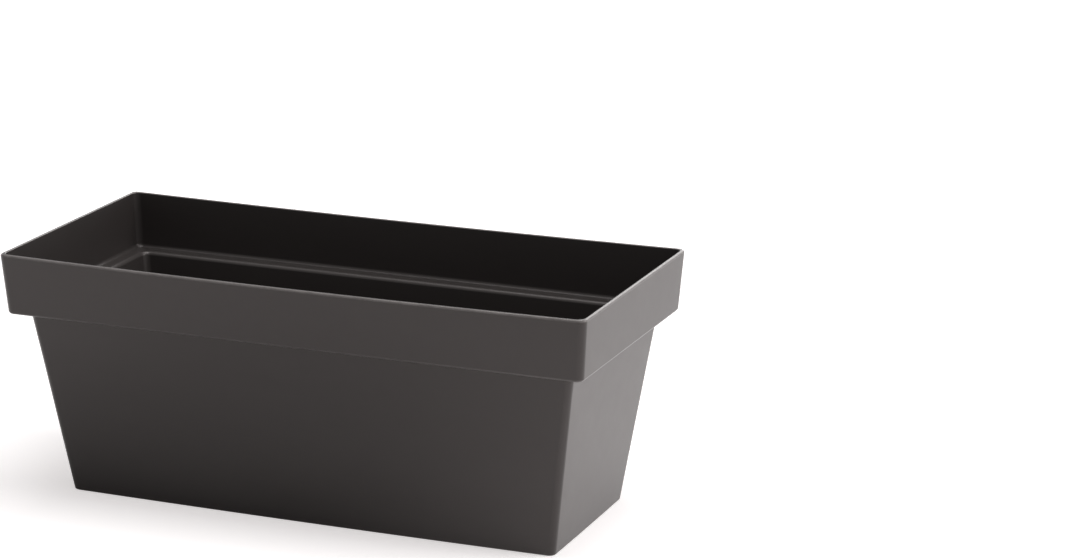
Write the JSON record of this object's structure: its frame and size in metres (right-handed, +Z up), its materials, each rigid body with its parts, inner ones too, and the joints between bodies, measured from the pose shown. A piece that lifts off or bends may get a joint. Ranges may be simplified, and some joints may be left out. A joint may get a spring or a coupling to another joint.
{
  "type": "window box planter",
  "caption": "Long rectangular window box planter in satin dark plastic: stepped collar, thin rim, inner ledge, tapered body on a standing rim, drain holes with pull-out plugs.",
  "frame": {"origin": "middle of the base, on the surface that the planter stands on", "axes": "+X along the planter's length, +Y towards its back long side, +Z up through the open top"},
  "size_m": [0.4998, 0.2278, 0.204],
  "materials": {
    "shell_plastic": "satin moulded plastic, warm dark grey",
    "plug_rubber": "matt moulded rubber, black"
  },
  "bodies": {
    "shell": {"planter_shell": "shell_plastic"},
    "plug_1": {"drain_plug_1": "plug_rubber"},
    "plug_2": {"drain_plug_2": "plug_rubber"},
    "plug_3": {"drain_plug_3": "plug_rubber"},
    "plug_4": {"drain_plug_4": "plug_rubber"}
  },
  "joints": [
    {"name": "plug_1_pull", "type": "slide", "parent": "shell", "child": "plug_1", "axis": [0, 0, 1], "range_m": [0, 0.22]},
    {"name": "plug_2_pull", "type": "slide", "parent": "shell", "child": "plug_2", "axis": [0, 0, 1], "range_m": [0, 0.22]},
    {"name": "plug_3_pull", "type": "slide", "parent": "shell", "child": "plug_3", "axis": [0, 0, 1], "range_m": [0, 0.22]},
    {"name": "plug_4_pull", "type": "slide", "parent": "shell", "child": "plug_4", "axis": [0, 0, 1], "range_m": [0, 0.22]}
  ]
}
